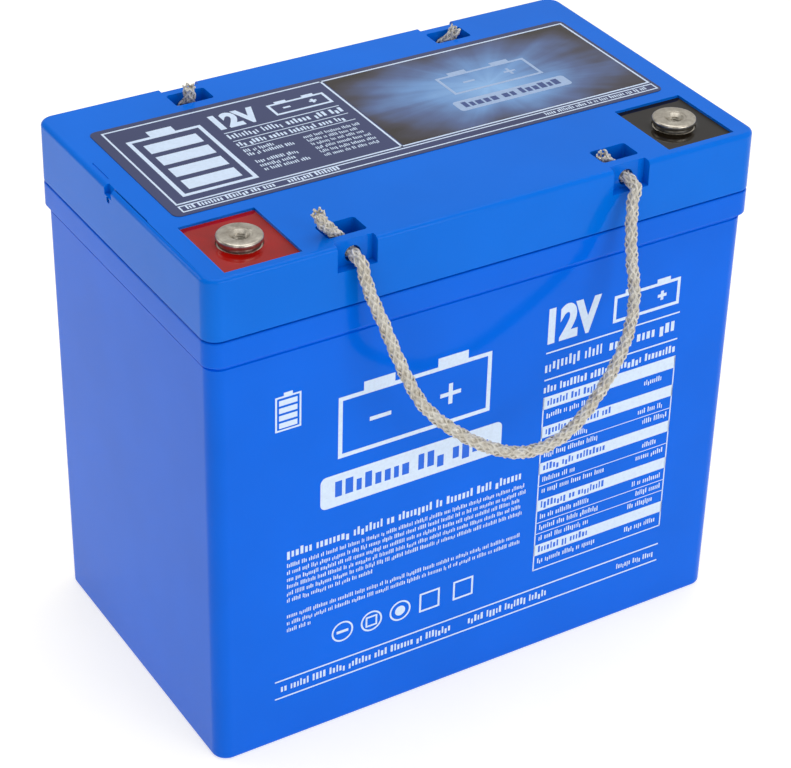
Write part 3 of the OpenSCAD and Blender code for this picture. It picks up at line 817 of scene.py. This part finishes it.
class BATTERY_OT_case(bpy.types.Operator):
    """Moulds the drafted case with its rim"""
    bl_idname = "battery.case"
    bl_label = "Case"

    def execute(self, context):
        shape = shape_mm(context)
        length, width, top = CASE_HIGH.x * 2, CASE_HIGH.y * 2, CASE_HIGH.z
        rim_z = top - shape["rim_height"]
        foot, inset = shape["foot_radius"], shape["base_inset"]
        corner = shape["corner_radius"]
        levels = arc_levels(foot, 6, (length - 2 * inset, width - 2 * inset, corner), 0, True)
        for z in (60 * MM, 120 * MM, rim_z - 2 * MM):
            wall = wall_inset(shape, z)
            levels.append((z, length - 2 * wall, width - 2 * wall, corner))
        # A small groove under the rim, then the rim's own round edge
        step = 2 * (wall_inset(shape, rim_z) - shape["rim_round"])
        for down, more in ((1.6, 2.4), (0.3, 2.4), (0, 0.1)):
            less = step + more * MM
            levels.append((rim_z - down * MM, length - less, width - less, corner))
        levels += arc_levels(shape["rim_round"], 4, (length, width, corner), rim_z, True)[1:]
        seam = shape["seam_round"]
        levels += arc_levels(seam, 3, (length, width, corner), top - seam, False)
        bm = bmesh.new()
        loft(bm, levels, 14)
        floor = 3 * MM
        mesh = combine(solid("case", bm), cell_blocks(shape, floor, top + 1 * MM))
        material = finish(moulded_abs, "injection_moulded_abs_blue", context.scene.battery_colours.case[:])
        piece = place_mesh("case_shell", mesh, material, "root", 28, True)
        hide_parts("case")
        return {"FINISHED"}


class BATTERY_OT_lid(bpy.types.Operator):
    """Moulds the lid with its wells, notches, pockets and vent"""
    bl_idname = "battery.lid"
    bl_label = "Lid"

    def station(self, shape, x, sign):
        """Cutting shapes for one rope station: notch, hole and pocket."""
        half = shape["notch_length"] / 2
        top, face = LID_HIGH.z, LID_HIGH.y
        bar_y = face - shape["notch_depth"] - shape["bar"]
        out = 2 * MM

        def between(near, far, low, high, radius):
            ys = sorted((sign * near, sign * far))
            return block((x - half, ys[0], low), (x + half, ys[1], high), radius)

        hole_z = top - 6 * MM
        notch = between(face - shape["notch_depth"], face + out, top - shape["notch_height"], top + out, 0)
        pocket = between(bar_y - shape["pocket_width"], bar_y, top - shape["pocket_depth"], top + out,
                         1.2 * MM)
        hole = rod((x, sign * (bar_y - out), hole_z), (x, sign * (face + out), hole_z), shape["hole"] / 2)
        return [solid("notch", notch), solid("pocket", pocket), solid("hole", hole)]

    def bosses(self, shape):
        """What stays solid under the lid: round the chamber, the wells, the posts and the pockets."""
        wall, top = shape["lid_wall"], LID_HIGH.z
        margin = shape["ledge"] - wall
        well_rim = Vector((2.4, 2.4, 0)) * MM
        post_drop, post_radius = 6 * MM, 13 * MM
        solids = [solid("boss", block((COVER_LOW.x + margin, COVER_LOW.y + margin, CHAMBER_FLOOR - wall),
                                      (COVER_HIGH.x - margin, COVER_HIGH.y - margin, top), COVER_CORNER))]
        for side in ("positive", "negative"):
            near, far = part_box(side + "_seal")
            solids.append(solid("boss", block(near - well_rim - Vector((0, 0, wall)), far + well_rim)))
            x, y = post_axis(side)
            solids.append(solid("boss", rod((x, y, near.z - wall - post_drop), (x, y, near.z), post_radius)))
        reach = shape["notch_depth"] + shape["bar"] + shape["pocket_width"] + wall
        half = shape["notch_length"] / 2 + wall
        for x in STATIONS:
            for near, far in ((-LID_HIGH.y, reach - LID_HIGH.y), (LID_HIGH.y - reach, LID_HIGH.y)):
                solids.append(solid("boss", block((x - half, near, top - shape["pocket_depth"] - wall),
                                                  (x + half, far, top))))
        return solids

    def execute(self, context):
        shape = shape_mm(context)
        length, width = LID_HIGH.x * 2, LID_HIGH.y * 2
        low, top = LID_LOW.z, LID_HIGH.z
        edge, seam = shape["lid_edge_radius"], shape["seam_round"]
        outline = (length, width, shape["corner_radius"])
        # A fine slot shows where the lid is welded on
        slot, recess = 0.35 * MM, seam + 0.9 * MM
        levels = [(low + step, length - 2 * recess, width - 2 * recess, shape["corner_radius"] - recess)
                  for step in (0, slot)]
        levels += arc_levels(seam, 3, outline, low + slot, True)
        levels += arc_levels(edge, 7, outline, top - edge, False)
        bm = bmesh.new()
        loft(bm, levels, 14)
        cuts = []
        bore_drop, bore_radius = 12 * MM, 7.8 * MM
        for side in ("positive", "negative"):
            near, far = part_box(side + "_seal")
            cuts.append(solid("well", block(near, (far.x, far.y, top + 2 * MM))))
            x, y = post_axis(side)
            bore = rod((x, y, near.z - bore_drop), (x, y, near.z + 1 * MM), bore_radius)
            cuts.append(solid("post_bore", bore))
        for x in STATIONS:
            for sign in (-1, 1):
                cuts += self.station(shape, x, sign)
        for cell in cell_blocks(shape, LID_LOW.z - 1 * MM, top - shape["lid_wall"]):
            cuts.append(shape_of("hollow", combine(cell, self.bosses(shape))))
        seat = 2.5 * MM
        cuts.append(solid("cover_seat", block((COVER_LOW.x, COVER_LOW.y, top - seat),
                                              (COVER_HIGH.x, COVER_HIGH.y, top + 2 * MM), COVER_CORNER)))
        ledge = shape["ledge"]
        cuts.append(solid("chamber", block((COVER_LOW.x + ledge, COVER_LOW.y + ledge, CHAMBER_FLOOR),
                                           (COVER_HIGH.x - ledge, COVER_HIGH.y - ledge, top), COVER_CORNER)))
        nozzles = []
        # A nozzle's bore and outer radius, its foot sunk in the floor, and its height, in millimetres
        inner, outer, foot, tall = 3, 5.5, -0.5, 4.5
        for cell in range(1, CELLS + 1):
            near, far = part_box("valve_cap_%d" % cell)
            axis = (near + far) / 2
            cuts.append(solid("nozzle_bore", rod((axis.x, axis.y, CHAMBER_FLOOR - 4 * MM),
                                                 (axis.x, axis.y, CHAMBER_FLOOR + 1 * MM), inner * MM)))
            ring = [(r * MM, CHAMBER_FLOOR + z * MM)
                    for r, z in ((inner, foot), (outer, foot), (outer, tall), (inner, tall))]
            nozzles.append(solid("nozzle", lathe(ring, (axis.x, axis.y, 0), 48)))
        # Vent notch and its hole in the left edge, and the mould's insert lines beside it
        outside, over = LID_LOW.x - 1 * MM, top + 1 * MM
        vent_y, vent_z = 7 * MM, top - 4.9 * MM
        cuts.append(solid("vent_notch", block((outside, 4.3 * MM, top - 3.6 * MM),
                                              (LID_LOW.x + 2 * MM, 9.7 * MM, over))))
        cuts.append(solid("vent", rod((outside, vent_y, vent_z), (LID_LOW.x + 18 * MM, vent_y, vent_z),
                                      1.2 * MM, 24)))
        for x, y0, y1 in ((-111.5, 13, 26), (-113, -21, 4)):
            cuts.append(solid("insert_line", block((x * MM, y0 * MM, top - 0.3 * MM),
                                                   ((x + 0.45) * MM, y1 * MM, over))))
        mesh = combine(shape_of("lid", combine(solid("lid", bm), cuts)), nozzles, "UNION")
        mesh = soften(mesh, shape["edge_radius"])
        material = finish(moulded_abs, "injection_moulded_abs_lid_blue", context.scene.battery_colours.lid[:])
        piece = place_mesh("lid_shell", mesh, material, "root", 28, True)
        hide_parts("lid")
        return {"FINISHED"}


# ---- Prints ----

class Artwork:
    """Thin ink shapes drawn on a plane, in millimetres: u to the right and v up, as one looks at it."""
    thick = 0.03 * MM
    sunk = 0.01 * MM

    def __init__(self, seed):
        self.bm = bmesh.new()
        self.chance = random.Random(seed)

    def bar(self, u0, v0, u1, v1):
        """A filled rectangle, in millimetres."""
        centre = Vector(((u0 + u1) / 2, (v0 + v1) / 2, 0)) * MM
        height = self.thick + self.sunk
        size = Matrix.Diagonal((abs(u1 - u0) * MM, abs(v1 - v0) * MM, height, 1))
        lift = Matrix.Translation(centre + Vector((0, 0, height / 2 - self.sunk)))
        bmesh.ops.create_cube(self.bm, size=1, matrix=lift @ size)

    def bars(self, *boxes):
        """Filled rectangles, each given as for bar."""
        for box in boxes:
            self.bar(*box)

    def outline(self, u0, v0, u1, v1, line):
        """A frame of four bars, as wide as line."""
        for a, b, c, d in ((u0, v0, u1, v0 + line), (u0, v1 - line, u1, v1),
                           (u0, v0 + line, u0 + line, v1 - line), (u1 - line, v0 + line, u1, v1 - line)):
            self.bar(a, b, c, d)

    def panel(self, u0, v0, u1, v1, radius):
        """A filled rectangle with round corners."""
        bm = block((u0 * MM, v0 * MM, -self.sunk), (u1 * MM, v1 * MM, self.thick), radius * MM, 6)
        self.join(bm)

    def ring(self, u, v, outer, inner):
        """A round ring, or a disc where the inner radius is 0."""
        self.join(lathe([(r * MM, h) for r, h in ((inner, -self.sunk), (outer, -self.sunk),
                                                  (outer, self.thick), (inner, self.thick))],
                        (u * MM, v * MM, 0), 40))

    def join(self, bm):
        """Adds a finished shape to the artwork."""
        mesh = bpy.data.meshes.new("part")
        bm.to_mesh(mesh)
        bm.free()
        self.bm.from_mesh(mesh)
        bpy.data.meshes.remove(mesh)

    def words(self, u0, u1, v, height, weight=0.62):
        """A row of plain blocks, grouped as words, that stands for a line of small print."""
        u = u0
        while u < u1 - 2 * height:
            for _ in range(self.chance.randint(2, 9)):
                wide = height * self.chance.uniform(0.6, 1) * weight * 0.8
                tall = height * self.chance.choice((1, 1, 1, 1.35, 1.35))
                drop = height * 0.3 * (self.chance.random() < 0.1)
                if u + wide > u1:
                    return
                self.bar(u, v - drop, u + wide, v + tall - drop)
                u += wide + 0.28 * height
            u += 0.5 * height

    def lines(self, *rows):
        """Rows of plain blocks, each given as for words."""
        for row in rows:
            self.words(*row)

    def numerals(self, body, u0, v0, height, squeeze, bolder):
        """Plain generic characters, such as a voltage."""
        curve = bpy.data.curves.new("numerals", "FONT")
        curve.body, curve.size, curve.extrude, curve.offset = body, 1.0, 0.01, bolder
        shape = bpy.data.objects.new("numerals", curve)
        bpy.context.scene.collection.objects.link(shape)
        bpy.context.view_layer.update()
        mesh = bpy.data.meshes.new_from_object(shape.evaluated_get(bpy.context.evaluated_depsgraph_get()))
        bpy.data.objects.remove(shape)
        xs = [p.co.x for p in mesh.vertices]
        ys = [p.co.y for p in mesh.vertices]
        grow = height / (max(ys) - min(ys))
        for p in mesh.vertices:
            p.co = Vector(((u0 + (p.co.x - min(xs)) * grow * squeeze) * MM,
                           (v0 + (p.co.y - min(ys)) * grow) * MM, self.thick if p.co.z > 0 else -self.sunk))
        bm = bmesh.new()
        bm.from_mesh(mesh)
        bpy.data.meshes.remove(mesh)
        bmesh.ops.remove_doubles(bm, verts=bm.verts, dist=0.0001 * MM)
        self.join(bm)
        return u0 + (max(xs) - min(xs)) * grow * squeeze

    def piece(self, name, material, placing):
        """Lays the artwork on its surface as a piece."""
        bmesh.ops.transform(self.bm, matrix=placing, verts=self.bm.verts)
        return make_piece(name, self.bm, material, "root")


def cell_mark(art, u0, v0, u1, v1, line):
    """A battery pictogram: an outline with two posts and a plus and a minus."""
    art.outline(u0, v0, u1, v1, line)
    wide, tall = u1 - u0, v1 - v0
    for share in (0.16, 0.64):
        art.bar(u0 + wide * share, v1, u0 + wide * (share + 0.2), v1 + tall * 0.14)
    arm = tall * 0.17
    left, right, middle = u0 + wide * 0.27, u0 + wide * 0.73, (v0 + v1) / 2
    art.bar(left - arm, middle - line / 2, left + arm, middle + line / 2)
    for a, b in ((0, 1), (-1, 0)):
        art.bar(right - line / 2, middle + a * arm + (line / 2 if b else 0), right + line / 2,
                middle + b * arm - (0 if b else line / 2))
    art.bar(right - arm, middle - line / 2, right + arm, middle + line / 2)


def charge_mark(art, u0, v0, u1, v1, line):
    """An upright battery pictogram filled with four charge bars."""
    art.outline(u0, v0, u1, v1, line)
    wide, tall = u1 - u0, v1 - v0
    art.bar(u0 + wide * 0.33, v1, u1 - wide * 0.33, v1 + tall * 0.09)
    for k in range(4):
        low = v0 + tall * (0.09 + 0.215 * k)
        art.bar(u0 + wide * 0.15, low, u1 - wide * 0.15, low + tall * 0.15)


# The front table's filled bars: the height of each one's foot, and the rows of print under it
TABLE = ((113.1, 1), (100.2, 2), (83.6, 2), (66.2, 3), (44.9, 1))


class BATTERY_OT_front_print(bpy.types.Operator):
    """Prints plain generic panels on the front face"""
    bl_idname = "battery.front_print"
    bl_label = "Front Print"

    def execute(self, context):
        shape = shape_mm(context)
        art = Artwork(5)
        # Small charge sign, big pictogram and bar
        charge_mark(art, -88.3, 140.5, -78, 155, 0.7)
        cell_mark(art, -63, 121, 1, 147, 1.7)
        art.panel(-70, 100.5, 7, 114.5, 2.5)
        # Headline, small print and row of plain signs
        art.words(-83.5, 17, 84.6, 2.6, 0.6)
        for row in range(6):
            art.words(-83.5, 19.5 if row < 5 else -45, 80.2 - 3.15 * row, 1.35, 0.4)
        for row in range(3):
            art.words(-83.5, 20 if row < 2 else -70, 57.2 - 3.2 * row, 1.35, 0.4)
        for u in (-60, -47.5, -35):
            art.ring(u, 42, 4.6, 3.9)
        art.bar(-62.5, 41.4, -57.5, 42.6)
        art.outline(-50, 39.6, -45, 44.4, 0.7)
        art.ring(-35, 42, 2.2, 0)
        for u in (-22, -7):
            art.outline(u - 4.5, 37.6, u + 4.5, 46.4, 0.8)
        # Foot strip
        art.bars((-88.5, 28.6, 86, 29.2), (-88.5, 20.5, 86, 21.1))
        art.lines((-86, -12, 23.6, 2.3, 0.55), (-4, 38, 23.6, 2.3, 0.55), (66, 84.5, 23.6, 1.8, 0.45))
        # Right-hand table
        end = art.numerals("12V", 25.3, 141.9, 15.6, 0.78, 0.05)
        cell_mark(art, end + 6, 142.4, 85, 154.2, 1.3)
        left, right = 25, 86
        for v, line in ((137.9, 0.6), (126.0, 0.6), (118.2, 0.4), (37.8, 0.5)):
            art.bar(left, v, right, v + line)
        art.lines((left, 52, 130.6, 3.2, 0.4), (54, right, 130.6, 3.2, 0.7), (left, right, 120.6, 2.4, 0.6))
        pitch = 5.2
        for head, rows in TABLE:
            art.bar(left, head, right, head + 5.1)
            for row in range(rows):
                v = head - 3.9 - pitch * row
                art.words(27, 27 + art.chance.uniform(18, 30), v, 1.7, 0.42)
                art.words(86 - art.chance.uniform(12, 18), 84.5, v, 1.7, 0.42)
                if row < rows - 1:
                    art.bar(left, v - 1.9, right, v - 1.6)
        for u in (left, right - 0.5):
            art.bar(u, 38, u + 0.5, 118.4)
        rim_z = CASE_HIGH.z - shape["rim_height"]
        slope = (shape["base_inset"] - shape["wall_inset"]) / (rim_z - shape["foot_radius"])
        flat_y = CASE_LOW.y + wall_inset(shape, 0)
        placing = Matrix(((1, 0, 0, 0), (0, -slope, -1, flat_y), (0, 1, 0, 0), (0, 0, 0, 1)))
        material = finish(screen_ink, "screen_printed_ink", context.scene.battery_colours.ink[:])
        art.piece("front_print", material, placing)
        # Dark blocks on the table's filled bars
        heads = Artwork(9)
        heads.thick, heads.sunk = 0.045 * MM, 0
        for head, _ in TABLE:
            heads.words(27, 27 + heads.chance.uniform(24, 36), head + 1.4, 2.2, 0.6)
        heads.words(-64, 3, 104.6, 5, 0.85)
        blue = finish(screen_ink, "knocked_out_blue", context.scene.battery_colours.case[:])
        heads.piece("front_print_dark", blue, placing)
        return {"FINISHED"}


class BATTERY_OT_label(bpy.types.Operator):
    """Lays the printed label with its frame lines, sign, small print and picture"""
    bl_idname = "battery.label"
    bl_label = "Top Label"

    def execute(self, context):
        colours = context.scene.battery_colours
        film = finish(printed_film, "printed_polyester_film", colours.label[:])
        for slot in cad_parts["top_label"].material_slots:
            slot.material = film
        art = Artwork(11)
        line = 0.75
        art.outline(-99.5, -16.4, 102.2, 44.4, line)
        art.bar(-8.6, -16.4, -7.8, 44.4)
        art.outline(-99.5, -22, 102.2, -17.4, 0.6)
        # Charge sign
        charge_mark(art, -94.5, -12, -64.5, 34, 1.6)
        # Voltage and small print
        end = art.numerals("12V", -59.5, 26.4, 12, 0.8, 0.05)
        cell_mark(art, end + 5, 27, -12, 36, 1.1)
        art.bars((-60, 23.2, -12, 23.7), (-60, 16.2, -12, 16.6), (-60, 10.7, -12, 11.1))
        art.lines((-60, -38, 18.6, 2.6, 0.4), (-36, -12, 18.6, 2.6, 0.7), (-60, -12, 12.2, 2.2, 0.6))
        for row, v in enumerate((7, 4, 1, -2.2, -5.4, -8.6)):
            if row != 2:
                art.words(-60, -60 + art.chance.uniform(13, 20), v, 1.6, 0.45)
            art.words(-36, -12.5, v - 0.7, 1.4, 0.4)
        art.lines((-97, -62, -20.5, 1.9, 0.6), (-57, -33, -20.5, 1.9, 0.6), (52, 100, -20.5, 1.6, 0.5))
        top = Matrix.Translation((0, 0, LABEL_TOP))
        ink = finish(screen_ink, "label_white_ink", colours.ink[:])
        art.piece("label_print", ink, top)
        picture = Artwork(1)
        picture.thick = 0.02 * MM
        picture.panel(-7.2, -15.4, 101.2, 43.4, 0.3)
        sky = finish(sky_picture, "offset_printed_picture", Vector((0.047, 0.012, 0)))
        picture.piece("label_picture", sky, top)
        # A plain sign and plate over the glow
        sign = Artwork(3)
        sign.thick = 0.06 * MM
        cell_mark(sign, 31, 10, 71, 25, 1.2)
        sign.panel(26, -3, 76, 5, 1.5)
        silver = finish(screen_ink, "label_silver_blue_ink", "#9db4d6")
        sign.piece("label_picture_sign", silver, top)
        plate = Artwork(4)
        plate.thick, plate.sunk = 0.09 * MM, 0
        plate.words(29, 74, -0.8, 3.2, 1.1)
        navy = finish(screen_ink, "label_navy_ink", "#3c4f86")
        plate.piece("label_picture_plate", navy, top)
        return {"FINISHED"}


# ---- Terminals ----

class BATTERY_OT_terminals(bpy.types.Operator):
    """Turns the two threaded terminals"""
    bl_idname = "battery.terminals"
    bl_label = "Terminals"

    def execute(self, context):
        for side in ("positive", "negative"):
            low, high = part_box(side + "_terminal")
            centre = (low + high) / 2
            radius = (high.x - low.x) / 2
            top, bevel, round_steps = high.z, 0.8 * MM, 4
            stem, neck = 5.2 * MM, radius - 0.7 * MM
            head_z = 201.6 * MM
            # The stem, the head in the resin, and a neck that sets off the contact disc
            profile = [(stem, low.z), (stem, head_z), (radius, head_z), (radius, 207.3 * MM),
                       (neck, 207.7 * MM), (neck, 208.9 * MM), (radius - 0.2 * MM, 209.1 * MM),
                       (radius, 209.4 * MM)]
            for k in range(round_steps + 1):
                a = math.pi / 2 * k / round_steps
                profile.append((radius - bevel * (1 - math.cos(a)), top - bevel * (1 - math.sin(a))))
            # Dished ring round the countersink, then the thread, a millimetre a turn
            crest, root, turns, sink = 2.5 * MM, 2.95 * MM, 11, 0.9 * MM
            profile += [(4.6 * MM, top), (4.4 * MM, top - 0.2 * MM), (3.7 * MM, top - 0.25 * MM),
                        (root, top - sink)]
            for k in range(turns):
                z = top - sink - k * MM
                profile += [(crest, z - 0.45 * MM), (root, z - 0.9 * MM)]
            profile += [(crest, low.z)]
            bm = lathe(profile, (centre.x, centre.y, 0))
            material = finish(tinned_brass, "turned_tinned_brass_" + side, centre)
            piece = make_piece(side + "_terminal_turned", bm, material, "root", 35)
            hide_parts(side + "_terminal")
        return {"FINISHED"}


class BATTERY_OT_seals(bpy.types.Operator):
    """Pours the resin seals, with the creep where resin meets a wall"""
    bl_idname = "battery.seals"
    bl_label = "Resin Seals"

    def execute(self, context):
        colours = context.scene.battery_colours
        creep, fade = 0.35 * MM, 0.6 * MM
        for side, shade, tint in (("positive", "red", colours.red), ("negative", "black", colours.black)):
            low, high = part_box(side + "_seal")
            post_low, post_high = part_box(side + "_terminal")
            post = (post_low + post_high) / 2
            radius = (post_high.x - post_low.x) / 2
            bm = block(low, high)
            top = [f for f in bm.faces if all(abs(v.co.z - high.z) < 0.001 * MM for v in f.verts)]
            edges = list({e for f in top for e in f.edges})
            cuts = 70
            bmesh.ops.subdivide_edges(bm, edges=edges, cuts=cuts, use_grid_fill=True)
            for v in bm.verts:
                if v.co.z < high.z - 0.001 * MM:
                    continue
                wall = min(v.co.x - low.x, high.x - v.co.x, v.co.y - low.y, high.y - v.co.y)
                ring = abs((v.co.xy - post.xy).length - radius)
                v.co.z += creep * (math.exp(-wall / fade) + math.exp(-ring / fade))
            stem = rod((post.x, post.y, low.z - MM), (post.x, post.y, high.z + 5 * MM), radius, 96)
            mesh = combine(solid("seal", bm), [solid("stem", stem)])
            material = finish(cast_resin, "cast_epoxy_" + shade, tint[:])
            piece = place_mesh(side + "_seal_cast", mesh, material, "root", 40)
            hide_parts(side + "_seal")
        return {"FINISHED"}


# ---- Inside ----

class BATTERY_OT_inside(bpy.types.Operator):
    """Gives the plates, mats, posts, valves and cover their finishes"""
    bl_idname = "battery.inside"
    bl_label = "Inside"

    def execute(self, context):
        lid = finish(moulded_abs, "injection_moulded_abs_lid_blue", context.scene.battery_colours.lid[:])
        finishes = (("positive_plates", dioxide_paste, "pasted_positive_plate"),
                    ("negative_plates", cast_lead, "cast_lead"),
                    ("separators", glass_mat, "wet_laid_glass_mat"),
                    ("_post", cast_lead, "cast_lead"), ("welds", cast_lead, "cast_lead"),
                    ("o_ring", moulded_rubber, "moulded_epdm_rubber"),
                    ("valve_cap", moulded_rubber, "moulded_epdm_rubber"))
        for name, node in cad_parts.items():
            for part, kind, label in finishes:
                if part in name:
                    for slot in node.material_slots:
                        slot.material = finish(kind, label)
        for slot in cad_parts["vent_cover"].material_slots:
            slot.material = lid
        return {"FINISHED"}


# ---- Add-on ----

STEPS = (BATTERY_OT_camera, BATTERY_OT_rope_handles, BATTERY_OT_case, BATTERY_OT_lid, BATTERY_OT_front_print,
         BATTERY_OT_label, BATTERY_OT_terminals, BATTERY_OT_seals, BATTERY_OT_inside, BATTERY_OT_stage)
GROUPS = {"battery_shape": BatteryShape, "battery_rope": BatteryRope, "battery_colours": BatteryColours,
          "battery_stage": BatteryStage}


class BATTERY_PT_panel(bpy.types.Panel):
    """Lists the battery's settings and steps"""
    bl_label = "Deep Cycle Battery"
    bl_space_type = "VIEW_3D"
    bl_region_type = "UI"
    bl_category = "Battery"

    def draw(self, context):
        for name, group in GROUPS.items():
            box = self.layout.box()
            box.label(text=group.__doc__)
            for key in group.__annotations__:
                box.prop(getattr(context.scene, name), key)
        for step in STEPS:
            self.layout.operator(step.bl_idname)


CLASSES = (*GROUPS.values(), *STEPS, BATTERY_PT_panel)


def register():
    for item in CLASSES:
        bpy.utils.register_class(item)
    for name, group in GROUPS.items():
        setattr(bpy.types.Scene, name, PointerProperty(type=group))


def unregister():
    for name in GROUPS:
        delattr(bpy.types.Scene, name)
    for item in reversed(CLASSES):
        bpy.utils.unregister_class(item)


def main():
    register()
    bpy.context.scene.view_settings.view_transform = "Standard"
    for step in STEPS:
        area, name = step.bl_idname.split(".")
        getattr(getattr(bpy.ops, area), name)()


if __name__ == "__main__":
    main()
